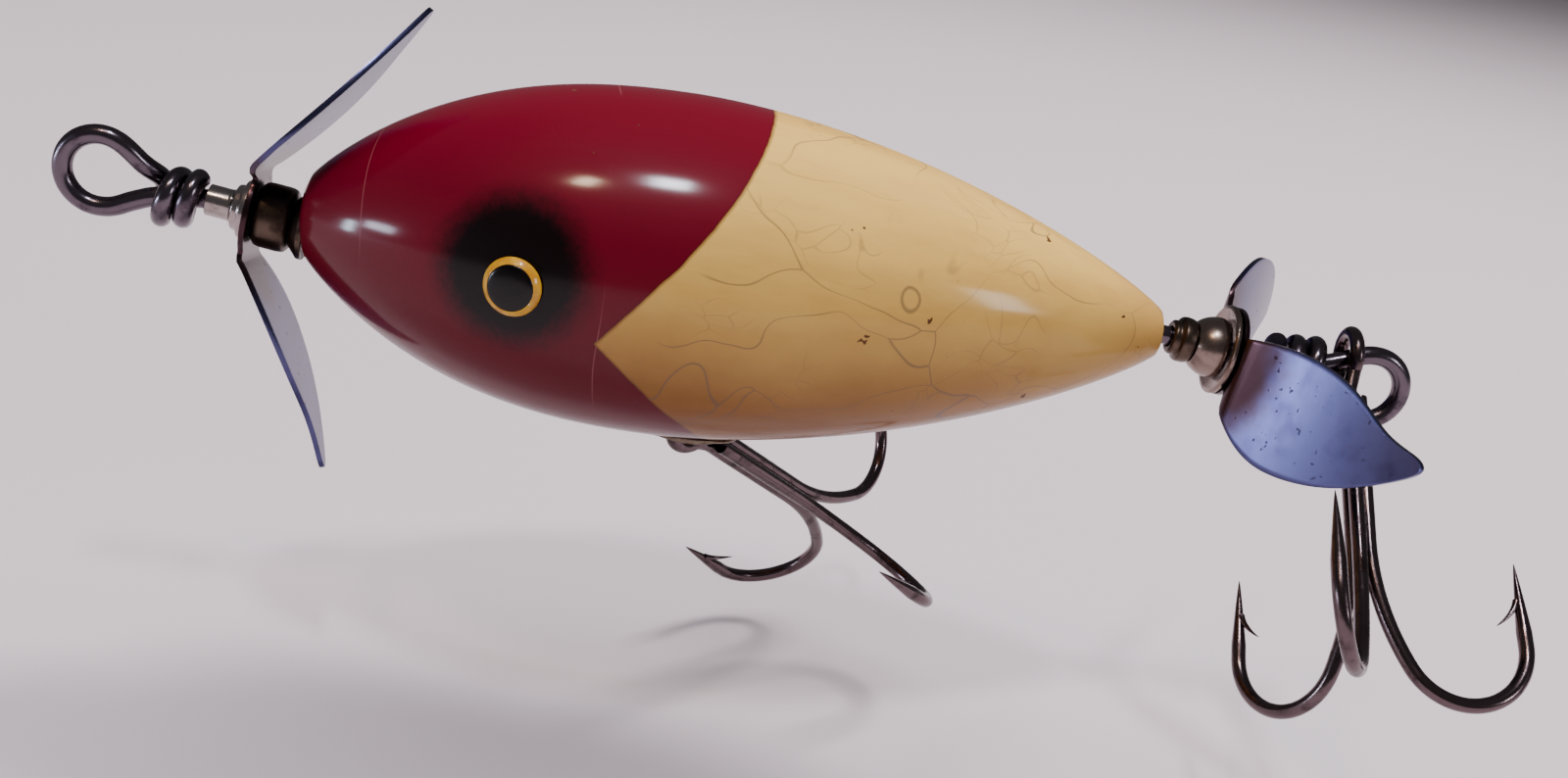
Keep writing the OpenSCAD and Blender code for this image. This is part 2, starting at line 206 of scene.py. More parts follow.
class Shader:
    """A material whose nodes are written as calls; numbers go straight onto the sockets."""

    def __init__(self, name):
        self.material = bpy.data.materials.new(name)
        self.material.use_nodes = True
        self.tree = self.material.node_tree
        self.bsdf = self.tree.nodes["Principled BSDF"]
        coords = self.tree.nodes.new("ShaderNodeTexCoord")
        self.where = coords.outputs["Object"]

    def put(self, socket, value):
        if isinstance(value, bpy.types.NodeSocket):
            self.tree.links.new(value, socket)
        else:
            socket.default_value = value

    def node(self, kind, *values, out=0, **props):
        node = self.tree.nodes.new("ShaderNode" + kind)
        for key, value in props.items():
            setattr(node, key, value)
        for socket, value in zip(node.inputs, values):
            self.put(socket, value)
        return node.outputs[out]

    def math(self, op, *values):
        return self.node("Math", *values, operation=op)

    def vmath(self, op, *values, out=0):
        return self.node("VectorMath", *values, operation=op, out=out)

    def step(self, value, low, high, to=(0.0, 1.0)):
        """Smooth step from low to high, giving the range to."""
        return self.node("MapRange", value, low, high, *to, interpolation_type="SMOOTHSTEP")

    def mix(self, factor, a, b):
        node = self.tree.nodes.new("ShaderNodeMix")
        node.data_type = "RGBA"
        for key, value in ((0, factor), (6, a), (7, b)):
            self.put(node.inputs[key], value)
        return node.outputs[2]

    def noise(self, scale, detail=3.0, rough=0.5, where=None):
        node = self.tree.nodes.new("ShaderNodeTexNoise")
        self.put(node.inputs["Vector"], where or self.where)
        for key, value in (("Scale", scale), ("Detail", detail), ("Roughness", rough)):
            node.inputs[key].default_value = value
        return node.outputs[0]

    def cells(self, scale, where):
        """Distance to the nearest edge of a network of cells."""
        node = self.tree.nodes.new("ShaderNodeTexVoronoi")
        node.feature = "DISTANCE_TO_EDGE"
        self.put(node.inputs["Vector"], where)
        node.inputs["Scale"].default_value = scale
        return node.outputs["Distance"]

    def bump(self, height, strength, distance):
        node = self.tree.nodes.new("ShaderNodeBump")
        node.inputs["Strength"].default_value = strength
        node.inputs["Distance"].default_value = distance
        self.put(node.inputs["Height"], height)
        self.put(self.bsdf.inputs["Normal"], node.outputs[0])

    def set(self, **values):
        for key, value in values.items():
            self.put(self.bsdf.inputs[key.replace("_", " ")], value)


def rgb(r, g, b):
    """Display colour from 0 to 255 as scene-linear."""
    return tuple((c / 255) ** 2.2 for c in (r, g, b)) + (1.0,)


def metal(name, bright, dull, rough, tarnish=0.5, clouds=500.0, pit=0.35):
    """Bare or plated metal with cloudy tarnish, fine pits and uneven polish."""
    s = Shader(name)
    cloud = s.step(s.noise(clouds, 5.0, 0.6), 0.62 - 0.3 * tarnish, 0.86 - 0.3 * tarnish)
    fine = s.noise(3.0 * clouds, 4.0, 0.65)
    amount = s.math("MULTIPLY", cloud, s.step(fine, 0.3, 0.6, (0.55, 1.0)))
    s.set(Base_Color=s.mix(amount, bright, dull), Metallic=1.0,
          Roughness=s.step(amount, 0.0, 1.0, (rough, rough + 0.18)))
    s.bump(fine, pit, 0.00002)
    return s


EYE_AT = 19.2                    # from the nose
EYE_LIFT = radians(2)            # above the middle of the side
BODY_R = 14.85
BELLY_AT = 31.5                  # the fattest place, from the nose
NOSE_R = 3.1
TAIL_R = 2.0
NOSE_POWERS = (2.4, 0.865)       # how full the outline is ahead of the belly
TAIL_POWERS = (1.76, 0.875)      # and behind it


def body_profile(t):
    """Radius of the body at a distance t from the nose."""
    if t < BELLY_AT:
        k = (BELLY_AT - t) / BELLY_AT
        return NOSE_R + (BODY_R - NOSE_R) * (1 - k ** NOSE_POWERS[0]) ** NOSE_POWERS[1]
    k = (t - BELLY_AT) / (body_l - BELLY_AT)
    return TAIL_R + (BODY_R - TAIL_R) * max(0.0, 1 - k ** TAIL_POWERS[0]) ** TAIL_POWERS[1]


def paint():
    """Red head and cream body meeting in an arrowhead on each side, under a clear coat."""
    s = Shader("painted_wood")
    x, y, z = (s.node("SeparateXYZ", s.where, out=k) for k in range(3))
    t = s.math("MULTIPLY_ADD", x, 1 / MM, -nose_x)
    side = s.math("ABSOLUTE", y)
    height = s.math("SUBTRACT", z, axis_z * MM)
    angle = s.math("MULTIPLY_ADD", s.math("ARCTAN2", height, side), 1 / pi, 0.5)

    # where the red ends, by the angle above the middle of the side
    curve = s.tree.nodes.new("ShaderNodeFloatCurve")
    s.put(curve.inputs["Value"], angle)
    points = curve.mapping.curves[0].points
    edge = ((-90, 36.8), (-52, 34.4), (-33, 30.8), (-20, 27.8), (-12.5, 25.8), (-5, 27.3),
            (6, 29.6), (19, 32.3), (35, 34.9), (53, 36.8), (74, 37.8), (90, 38.0))
    arrowhead, span = 4, 50
    for phi, at in edge[1:-1]:
        points.new(phi / 180 + 0.5, at / span)
    points[0].location = (0.0, edge[0][1] / span)
    points[-1].location = (1.0, edge[-1][1] / span)
    points[arrowhead].handle_type = "VECTOR"
    curve.mapping.update()
    wobble = s.noise(500.0, 2.0)
    ragged = s.math("MULTIPLY", wobble, 0.3)
    border = s.math("MULTIPLY_ADD", curve.outputs[0], float(span), ragged)
    ahead = s.math("SUBTRACT", t, border)
    cream_part = s.step(ahead, -0.02, 0.16)
    off_seam = s.math("ABSOLUTE", s.math("SUBTRACT", ahead, 0.1))
    seam = s.math("SUBTRACT", 1.0, s.step(off_seam, 0.05, 0.3))

    # colours, each clouded with age; painted shade darkens the underside of both colours and
    # painted light brightens their tops
    cloud = s.noise(70.0, 5.0, 0.6)
    grain = s.noise(220.0, 5.0, 0.6, s.vmath("MULTIPLY", s.where, (0.18, 1.0, 1.0)))
    # painted shade and light: this mask runs from the dark, shaded underside to the lit top, with a
    # cloudy edge
    painted_light_from_above = s.step(s.math("MULTIPLY_ADD", cloud, 0.006, height), -0.007, 0.011)
    red = s.mix(painted_light_from_above, rgb(84, 8, 26), rgb(98, 6, 32))
    # the dark cream is painted shade under the body and the pale cream is its painted lit top; the
    # red changes the same way
    cream = s.mix(painted_light_from_above, rgb(116, 74, 36), rgb(226, 182, 96))
    cream = s.mix(s.step(grain, 0.35, 0.72, (0.0, 0.3)), cream, rgb(164, 110, 52))
    tan = s.step(t, 66.0, 76.0, (0.0, 0.4))
    cream = s.mix(tan, cream, rgb(172, 124, 74))
    colour = s.mix(cream_part, red, cream)
    colour = s.mix(s.math("MULTIPLY", seam, 0.5), colour, rgb(70, 20, 10))

    # sprayed black round each eye, a little ahead of it and above it
    ahead_by, above_by = 0.3, 1.2
    radius = body_profile(EYE_AT)
    eye = (nose_x + EYE_AT - ahead_by, radius * cos(EYE_LIFT),
           axis_z + radius * sin(EYE_LIFT) + above_by)
    here = s.node("CombineXYZ", x, side, z)
    away = s.vmath("DISTANCE", here, tuple(c * MM for c in eye), out=1)
    spray = s.math("ADD", away, s.math("MULTIPLY_ADD", s.noise(1400.0, 3.0, 0.7), 0.0016, -0.0008))
    halo = s.step(spray, 0.0044, 0.0078, (0.98, 0.0))
    colour = s.mix(halo, colour, rgb(6, 3, 6))

    # cracks in the old lacquer: long wavy hairlines, and a fine network in patches
    drift = s.node("CombineXYZ", s.noise(90.0, 1.0), s.noise(110.0, 1.0), s.noise(130.0, 1.0))
    bent = s.vmath("MULTIPLY_ADD", drift, (0.012, 0.012, 0.012), s.where)
    long_cells = s.cells(135.0, s.vmath("MULTIPLY", bent, (0.36, 1.0, 1.0)))
    fine_cells = s.cells(420.0, s.vmath("MULTIPLY", bent, (0.6, 1.0, 1.0)))
    shown = s.step(s.noise(75.0, 2.0), 0.36, 0.52)
    long_crack = s.math("MULTIPLY", s.step(long_cells, 0.002, 0.014, (1.0, 0.0)), shown)
    fine_crack = s.math("MULTIPLY", s.step(fine_cells, 0.004, 0.03, (0.55, 0.0)),
                        s.step(s.noise(110.0, 2.0), 0.53, 0.62))
    crack = s.math("MAXIMUM", long_crack, fine_crack)
    colour = s.mix(s.math("MULTIPLY", crack, s.math("MULTIPLY", cream_part, 0.6)), colour,
                   rgb(92, 76, 66))

    # faint pale hairlines that run round the red head
    sway = s.math("MULTIPLY_ADD", s.noise(45.0, 1.0), 5.0, -2.5)
    for at in (6.5, 26.0):
        off = s.math("ABSOLUTE", s.math("SUBTRACT", s.math("ADD", t, sway), at))
        line = s.math("MULTIPLY", s.step(off, 0.02, 0.07, (0.24, 0.0)),
                      s.step(s.noise(60.0 + at, 1.0), 0.45, 0.6))
        line = s.math("MULTIPLY", line, s.math("SUBTRACT", 1.0, cream_part))
        colour = s.mix(line, colour, rgb(190, 120, 120))

    # chips down to the wood, mostly near the tail
    worn = s.math("MULTIPLY", s.step(t, 56.0, 76.0), 0.05)
    chips = s.step(s.math("ADD", s.noise(420.0, 3.0, 0.65), worn), 0.725, 0.74)
    colour = s.mix(chips, colour, rgb(92, 62, 44))

    s.set(Base_Color=colour, Roughness=s.step(grain, 0.2, 0.8, (0.4, 0.55)),
          Specular_IOR_Level=0.06, Coat_IOR=1.38,
          Coat_Weight=s.math("MULTIPLY_ADD", chips, -0.55, 0.6),
          Coat_Roughness=0.13)
    relief = s.math("SUBTRACT", s.math("MULTIPLY", s.noise(260.0, 2.0), 0.3),
                    s.math("ADD", s.math("MULTIPLY", crack, 0.12), chips))
    s.bump(relief, 0.4, 0.0001)
    return s


def blade_metal():
    """Plated sheet, blued with age, browner towards the hub, with specks of corrosion."""
    s = metal("blade_steel", rgb(80, 78, 114), rgb(68, 64, 96), 0.22, 0.5, 300.0, 0.25)
    clouds = s.bsdf.inputs["Base Color"].links[0].from_socket
    near_front = s.vmath("DISTANCE", s.where, tuple((front @ Vector((0, 0, 3.9))) * MM), out=1)
    near_rear = s.vmath("DISTANCE", s.where, tuple((rear @ Vector((0, 0, 6.6))) * MM), out=1)
    reach = s.math("ADD", s.math("MINIMUM", near_front, near_rear),
                   s.math("MULTIPLY", s.noise(300.0, 4.0, 0.6), 0.006))
    root = s.step(reach, 0.0085, 0.0125, (0.9, 0.0))
    specks = s.step(s.noise(1500.0, 2.0), 0.68, 0.74)
    colour = s.mix(root, clouds, rgb(66, 46, 42))
    s.set(Base_Color=s.mix(s.math("MULTIPLY", specks, 0.7), colour, rgb(48, 34, 34)),
          Roughness=s.step(specks, 0.0, 1.0, (0.25, 0.45)))
    return s


def enamel(name, colour, other, rough, coat=0.5):
    """Old glossy enamel, mottled between two close colours."""
    s = Shader(name)
    s.set(Base_Color=s.mix(s.step(s.noise(900.0, 4.0), 0.35, 0.7), colour, other),
          Roughness=rough, Specular_IOR_Level=0.2, Coat_Weight=coat, Coat_Roughness=0.1)
    s.bump(s.noise(1200.0, 2.0), 0.15, 0.00002)
    return s


finish = {
    "painted_wood": paint(),
    "wire_steel": metal("wire_steel", rgb(100, 90, 98), rgb(62, 52, 60), 0.2, 0.5),
    "aged_brass": metal("aged_brass", rgb(88, 74, 66), rgb(50, 40, 36), 0.32, 0.7, 400.0, 0.6),
    "dome_brass": metal("dome_brass", rgb(136, 118, 110), rgb(88, 74, 68), 0.24, 0.5, 400.0),
    "bright_sleeve": metal("bright_sleeve", rgb(160, 148, 146), rgb(96, 82, 78), 0.2, 0.4),
    "blade_steel": blade_metal(),
    "hook_steel": metal("hook_steel", rgb(98, 84, 86), rgb(62, 50, 52), 0.18, 0.5, 600.0, 0.3),
    "cup_plate": metal("cup_plate", rgb(120, 106, 92), rgb(70, 56, 46), 0.3, 0.6),
    "eye_ring": enamel("eye_ring", rgb(206, 152, 28), rgb(182, 122, 20), 0.35),
    "eye_pupil": enamel("eye_pupil", rgb(8, 5, 7), rgb(18, 11, 12), 0.25, 0.2),
}


def fit(obj, node, look):
    """Gives a piece its look and its body, and hides the CAD node it stands for."""
    obj.data.materials.clear()
    obj.data.materials.append(finish[look].material)
    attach(obj, frame["nodes"][node]["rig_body"])
    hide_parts(node)
    return obj


def extra(obj, rider, look):
    """Gives its look and its body to a piece that stands for no CAD node."""
    obj.data.materials.append(finish[look].material)
    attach(obj, rider)


# ---- body ----

along = Matrix.Translation((nose_x, 0, axis_z)) @ Matrix.Rotation(pi / 2, 4, "Y")
steps = 120 if FINE else 60
heights = [body_l * (1 - cos(pi * i / steps)) / 2 for i in range(steps + 1)]
nose_edge = [Vector(p) for p in ((0, 0), (NOSE_R - 0.5, 0.0), (NOSE_R - 0.15, 0.12))]
flank = [Vector((body_profile(h), h)) for h in heights if 0.4 < h < body_l - 0.12]
tail_edge = [Vector(p) for p in ((1.85, body_l - 0.04), (1.4, body_l), (0, body_l))]
body = solid_lathe("turned_body", nose_edge + flank + tail_edge, along, 160 if FINE else 96)

CUP_R = 4.2
CUP_DEPTH = 4.9
cup_place = Matrix.Translation((belly_pivot.x, 0, axis_z - BODY_R))
recess_r, recess_top = CUP_R + 0.02, CUP_DEPTH + 0.1
recess = solid_lathe("recess", [Vector(p) for p in (
    (0, -4), (recess_r, -4), (recess_r, recess_top), (0, recess_top))], cup_place, 64)
fit(cut(body, recess), "wood_body", "painted_wood")

# ---- wire ----

WIRE_R = 0.85
LOOP_R = 3.1
SAG = 0.9                        # the lead is pulled this far off the wire's axis at the coil
FRONT_LOOP_AT = 17.4             # centre of each loop, from the wood
REAR_LOOP_AT = 20.3
FRONT_WRAPS = 2
REAR_WRAPS = 2.5
WRAP_GAP = 0.06                  # between a coil and its neighbour


def end_points(centre, wrap_at, wraps):
    """Control points of one end: lead, pear-shaped loop, and the leg wrapped back round."""
    pitch, wrap_r = 2 * WIRE_R + WRAP_GAP, 2 * WIRE_R + 0.1
    last = wrap_at + WIRE_R + wraps * pitch
    start = last - 0.1
    reach = centre - start
    h = asin(LOOP_R / sqrt(reach ** 2 + SAG ** 2)) - atan2(SAG, reach)
    step = (pi + h + radians(30)) / 7
    r = LOOP_R * 3 / (2 + cos(step))
    coil = wrap_r * 3 / (2 + cos(pi / 4))

    def pull(z):
        """How far off the axis the lead is where the coils pass over it."""
        return -SAG * (z - wrap_at) / (start - wrap_at)

    mouth = Vector((-SAG, 0, start))
    joins = Vector((-LOOP_R * cos(h), 0, centre - LOOP_R * sin(h)))
    out = [Vector((0, 0, z)) for z in (0.7, 3, wrap_at - 1, wrap_at + 0.6)]
    out += [Vector((pull(z), 0, z)) for z in (start - 2, start)]
    out += [mouth.lerp(joins, k) for k in (0.33, 0.67)]
    for k in range(8):
        a = k * step - pi / 2 - h
        out.append(Vector((r * sin(a), 0, centre + r * cos(a))))
    out.append(Vector((wrap_r + 0.2 - SAG, 0.5, start + 1.35)))
    for k in range(1, int(8 * wraps) + 2):
        a = pi * k / 4
        z = last - pitch * k / 8
        out.append(Vector((coil * cos(a) + pull(z), coil * sin(a), z)))
    return out


front_hub = 4.1
front_tube_at, front_tube_l = front_hub + 2.07, 2.1
rear_hub = 6.45
rear_tube_at, rear_tube_l = rear_hub + 0.75, 2.7
front_wrap_at = front_tube_at + front_tube_l + WRAP_GAP
rear_wrap_at = rear_tube_at + rear_tube_l + WRAP_GAP
ends = [front @ p for p in reversed(end_points(FRONT_LOOP_AT, front_wrap_at, FRONT_WRAPS))]
ends += [nose.lerp(tail, k / 4) for k in range(5)]
ends += [rear @ p for p in end_points(REAR_LOOP_AT, rear_wrap_at, REAR_WRAPS)]
path = bspline(ends, 6 if FINE else 3)
wire = tube("through_wire_round", path, [WIRE_R] * len(path), 28 if FINE else 16)
fit(wire, "through_wire", "wire_steel")

# ---- beads, washers and sleeves: (radius, height) outlines turned about the wire ----

BORE = 0.93


def turned(name, node, place, at, points, look, ease=0.14, sides=96):
    """A bead, washer or sleeve whose outline starts at a height on the wire."""
    outline = eased([Vector((r, h + at)) for r, h in points], ease)
    return fit(lathe(name, outline, place, sides), node, look)


turned("nose_cup", "nose_cup_washer", front, 0, (
    (BORE, 0.15), (1.5, 0.15), (2.7, -0.35), (3.0, -0.35), (3.0, 0.1), (2.1, 1.0),
    (BORE, 1.0)), "aged_brass", 0.1)
turned("barrel_bead", "front_barrel_bead", front, 1.06, (
    (BORE, 0), (2.45, 0), (2.75, 0.25), (2.83, 0.7), (2.83, 2.25), (2.75, 2.7), (2.45, 2.96),
    (BORE, 2.96)), "aged_brass", 0.2)
turned("step_bead", "front_step_bead", front, front_hub + 0.51, (
    (BORE, 0), (2.5, 0), (2.6, 0.15), (2.5, 0.7), (2.05, 0.75), (1.95, 1.35), (1.6, 1.5),
    (BORE, 1.5)), "bright_sleeve")
turned("front_tube", "front_sleeve", front, front_tube_at, (
    (BORE, 0), (1.45, 0), (1.36, 0.3), (1.36, front_tube_l), (BORE, front_tube_l)),
    "bright_sleeve", 0.08)
turned("tail_step", "tail_step_bead", rear, 1.1, (
    (BORE, 0), (1.35, 0), (1.55, 0.2), (1.55, 0.65), (2.0, 0.85), (2.05, 1.3), (2.0, 1.85),
    (1.75, 2.1), (BORE, 2.1)), "aged_brass", 0.18)
BALL_R = 2.75
DOME_AT = 3.26
DOME_H = 2.4
ball = [Vector((BALL_R * sin(a), BALL_R - 0.7 - BALL_R * cos(a))) for a in (
    radians(42 + 4 * k) for k in range(17))]
ball = [p for p in ball if p.y < DOME_H - 0.1]
lip = [Vector((BALL_R - 0.05, DOME_H)), Vector((BORE, DOME_H))]
dome = [Vector((p.x, p.y + DOME_AT)) for p in [Vector((BORE, 0.0))] + ball + lip]
fit(lathe("dome_bead", dome, rear, 128), "tail_dome_bead", "dome_brass")
turned("cup_washer", "tail_cup_washer", rear, 5.97, (
    (BORE, 0), (2.6, 0), (3.7, -0.25), (4.05, -0.15), (4.05, 0.2), (2.7, 0.42), (BORE, 0.42)),
    "dome_brass", 0.1, 128)
turned("rear_tube", "rear_sleeve", rear, rear_tube_at, (
    (BORE, 0), (2.0, 0), (2.0, 0.5), (1.4, 0.6), (1.36, rear_tube_l), (BORE, rear_tube_l)),
    "bright_sleeve", 0.08)

# ---- propellers ----

BLADE_L = 19.3
SHEET = 0.45
SWEEP = Matrix.Rotation(radians(32.7), 4, "Y") @ Matrix.Rotation(radians(-2.5), 4, "X")
CAMBER_R = 70.0                  # each blade is bowed along its length to this radius
CAMBER_MIDDLE = 9
DISH = 0.36
HUB_R = 4.0
BEND_AT = 3.9                    # where the blade bends out of the hub's plane
FRONT_SPIN = radians(8.8)
REAR_SPIN = radians(90.5)


def blade_sides():
    """Both long edges of a blade as (distance from the bend, offset) points."""
    full = ((0, -4.6), (0, -4.6), (0, -4.6), (1.2, -5.9), (4.8, -7.75), (11.0, -6.3),
            (15.2, -3.9), (BLADE_L - 0.1, -0.85), (BLADE_L + 0.35, 0.1), (BLADE_L - 0.6, 0.75),
            (15.1, 0.7), (11.5, 2.8), (7.15, 3.7), (3.0, 3.4), (0, 2.6), (0, 2.6), (0, 2.6))
    line = bspline([Vector(p) for p in full], 12)
    tip = max(range(len(line)), key=lambda i: line[i].x)
    return line[:tip + 1], line[tip:][::-1]


def offset_at(side, s):
    """Offset of one long edge at a distance s from the bend."""
    for a, b in zip(side, side[1:]):
        if a.x <= s <= b.x and b.x > a.x:
            return a.y + (b.y - a.y) * (s - a.x) / (b.x - a.x)
    return side[0].y if s < side[0].x else side[-1].y


def ease01(t):
    """Smooth step from 0 to 1."""
    t = min(1.0, max(0.0, t))
    return t * t * (3 - 2 * t)


def propeller(name, node, place):
    """Two blades and their flat hub cut from one strip, bent, thickened and bored."""
    low, high = blade_sides()
    reach = low[-1].x
    rows, across = (72, 20) if FINE else (40, 10)
    verts, faces = [], []
    for row in range(-rows, rows + 1):
        k = abs(row) / rows
        s = (BEND_AT + reach) * (1 - (1 - k) ** 1.25)
        rim = sqrt(max(0.0, HUB_R ** 2 - s * s))
        root = ease01((s - 2.2) / (BEND_AT - 2.2))
        a = min(-rim, offset_at(low, s - BEND_AT) * root)
        b = max(rim, offset_at(high, s - BEND_AT) * root)
        for j in range(across + 1):
            w = a + (b - a) * j / across
            t = s - BEND_AT
            bow = sqrt((CAMBER_R + SHEET / 2) ** 2 - (t - CAMBER_MIDDLE) ** 2)
            shell = CAMBER_R - DISH + SHEET / 2 - bow
            swept = Matrix.Translation((BEND_AT, 0, 0)) @ SWEEP @ Vector((t, w, shell))
            flat = Vector((s, w, SHEET / 2))
            p = flat.lerp(swept, ease01((s - BEND_AT + 0.7) / 1.4))
            if row < 0:
                p = Vector((-p.x, -p.y, p.z))
            verts.append(p)
    # the half behind the hub runs the other way across, so its rows are turned about
    n = across + 1
    for row in range(rows):
        verts[row * n:(row + 1) * n] = verts[row * n:(row + 1) * n][::-1]
    for row in range(2 * rows):
        faces += [(row * n + j, (row + 1) * n + j, (row + 1) * n + j + 1, row * n + j + 1)
                  for j in range(across)]
    obj = piece(name, [place @ v for v in verts], faces, 60)
    thick = obj.modifiers.new("sheet", "SOLIDIFY")
    thick.thickness, thick.offset = SHEET * MM, 0.0
    bevel = obj.modifiers.new("edge", "BEVEL")
    bevel.width, bevel.segments, bevel.limit_method = 0.1 * MM, 2, "ANGLE"
    bevel.angle_limit = radians(60)
    hole = solid_lathe("hole", [Vector(p) for p in ((0, -3), (BORE, -3), (BORE, 3), (0, 3))],
                       place, 48)
    return fit(cut(obj, hole), node, "blade_steel")


propeller("front_blades", "front_propeller", front @ Matrix.Translation((0, 0, front_hub))
          @ Matrix.Rotation(FRONT_SPIN, 4, "Z"))
propeller("rear_blades", "rear_propeller", rear @ Matrix.Translation((0, 0, rear_hub + SHEET))
          @ Matrix.Rotation(REAR_SPIN, 4, "Z") @ Matrix.Rotation(pi, 4, "X"))

# ---- treble hooks ----

HOOK_R = 0.65
HOOK_L = 31.1
EYE_R = 2.1
BEND_R = 5.4
FLARE_R = 21.6                   # the shank's outward curve
FLARE = radians(29.9)
LEAN = radians(2.9)              # of the point, inwards
POINT_L = 7.2
TAPER_POINTS = 10
HOOK_SIDE = HOOK_R / cos(radians(30)) + 0.02
FLARE_FROM = HOOK_L - FLARE_R * sin(FLARE) - BEND_R * (1 - sin(FLARE))


def hook_line(top):
    """Centre line of one hook in its own plane, from the shank to the point."""
    a = Vector((HOOK_SIDE, -FLARE_FROM))
    b = a + FLARE_R * Vector((1 - cos(FLARE), -sin(FLARE)))
    c = b + BEND_R * Vector((cos(FLARE) + cos(LEAN), sin(FLARE) + sin(LEAN)))
    last = pi + LEAN
    fine = 3 if FINE else 1
    out = [Vector((HOOK_SIDE, top + (a.y - top) * k / 6)) for k in range(6)]
    for k in range(6 * fine):
        h = FLARE * k / (6 * fine)
        out.append(a + FLARE_R * Vector((1 - cos(h), -sin(h))))
    for k in range(15 * fine + 1):
        h = FLARE + (last - FLARE) * k / (15 * fine)
        out.append(b + BEND_R * Vector((cos(FLARE) - cos(h), sin(FLARE) - sin(h))))
    for k in range(1, 13):
        out.append(c + POINT_L * k / 12 * Vector((-sin(LEAN), cos(LEAN))))
    return out


def around(line, angle):
    """A hook's own plane turned about the shank by angle, in degrees."""
    a = radians(angle)
    return [Vector((p.x * cos(a), p.x * sin(a), p.y)) for p in line]


def hook_radii(n):
    """Full wire, then a long ground taper to a sharp point."""
    out = []
    for i in range(n):
        left = (n - 1 - i) / TAPER_POINTS
        out.append(HOOK_R if left >= 1 else HOOK_R * (0.05 + 0.95 * left ** 0.85))
    return out


def barb(name, place, angle, rider):
    """The sliver cut up from the inner side of the point."""
    root = hook_line(0)[-8]
    start = Vector((root.x - 0.3, root.y + 0.9))
    path = [start + Vector((-0.24 * k * 0.33 - 0.02 * k * k, -0.3 * k)) for k in range(9)]
    radii = [0.3 * (1 - k / 8) ** 0.8 + 0.03 for k in range(9)]
    obj = tube(name, [place @ p for p in around(path, angle)], radii, 12)
    extra(obj, rider, "hook_steel")


def treble(name, place):
    """One wire makes two hooks and the eye; the third hook is laid along the shank."""
    line = hook_line(-3.6)
    radii = hook_radii(len(line))
    turns = 36 if FINE else 18
    eye = [EYE_R * Vector((0, sin(radians(a)), cos(radians(a)))) for a in (
        -150 + 300 * k / turns for k in range(turns + 1))]
    both = around(line, 240)[::-1] + eye + around(line, 120)
    sides = 24 if FINE else 12
    x_way = place.to_3x3() @ Vector((1, 0, 0))
    double = tube(name + "_double", [place @ p for p in both],
                  radii[::-1] + [HOOK_R] * len(eye) + radii, sides, x_way)
    fit(double, name + "_double_hook", "hook_steel")
    line = hook_line(-4.0)
    single = tube(name + "_single", [place @ p for p in around(line, 0)],
                  hook_radii(len(line)), sides)
    fit(single, name + "_single_hook", "hook_steel")
    for angle in (0, 120, 240):
        barb("%s_barb_%d" % (name, angle), place, angle, name + "_treble")


def hung(lean, turn, rise):
    """Leans a treble over, turns it about its shank, then lifts its eye on the pivot."""
    return (Matrix.Rotation(radians(lean), 4, "X") @ Matrix.Rotation(radians(turn), 4, "Z")
            @ Matrix.Translation((0, 0, rise)))


hanger = Matrix.Translation(belly_pivot) @ Matrix.Rotation(hanger_turn, 4, "Z")
treble("belly", hanger @ hung(57.6, -10.8, -0.75))
treble("rear", Matrix.Translation(rear_pivot) @ hung(-44.8, -3, 0.3))

# ---- belly hanger ----

RING_R = 1.7
RING_WIRE = 0.65
SHANK_R = 0.66
SHANK_STEP = 0.15
SHANK_POINTS = 58
THREAD_FROM = 10
THREAD_DEPTH = 0.07
ring = [Vector((RING_R * sin(radians(a)), 0, RING_R - RING_R * cos(radians(a))))
        for a in range(180, 531, 10)]
top = 2 * RING_R
shank = [Vector((0, 0, top + SHANK_STEP * k)) for k in range(1, SHANK_POINTS + 1)]
screw_path = ring + [Vector((0.3, 0, top - 0.02))] + shank
screw_radii = [RING_WIRE] * (len(ring) + 1)
for k in range(1, SHANK_POINTS + 1):
    thread = THREAD_DEPTH * sin(2 * pi * SHANK_STEP * k) if k > THREAD_FROM else 0.0
    point = min(SHANK_R, SHANK_R * (SHANK_POINTS - k) / 9)
    screw_radii.append(max(0.05, point + thread))
screw = tube("screw_eye", [hanger @ p for p in screw_path], screw_radii, 20)
fit(screw, "belly_screw_eye", "aged_brass")

CUP_WALL = 0.35
hole_r, inner_r, cup_floor, lip_z = 0.75, CUP_R - CUP_WALL, CUP_DEPTH - CUP_WALL, 0.1
cup_points = [Vector(p) for p in (
    (hole_r, cup_floor), (inner_r, cup_floor), (inner_r, lip_z), (CUP_R, lip_z),
    (CUP_R, CUP_DEPTH), (hole_r, CUP_DEPTH))]
cup = lathe("hook_cup", eased(cup_points, 0.3), cup_place, 96)
fit(cup, "belly_hook_cup", "cup_plate")

# a thin bead round the mouth of the cup, following the curve of the wood
RIM_R = 4.55
RIM_WIRE = 0.15
RIM_STEPS = 96
rim_path = []
for k in range(RIM_STEPS + 1):
    a = 2 * pi * k / RIM_STEPS
    dx, dy = RIM_R * cos(a), RIM_R * sin(a)
    rise = BODY_R - sqrt(BODY_R ** 2 - dy * dy)
    rim_path.append(Vector((belly_pivot.x + dx, dy, axis_z - BODY_R + rise - 0.02)))
rim = tube("hook_cup_rim", rim_path, [RIM_WIRE] * len(rim_path), 14)
extra(rim, "lure_body", "cup_plate")

# ---- eyes ----

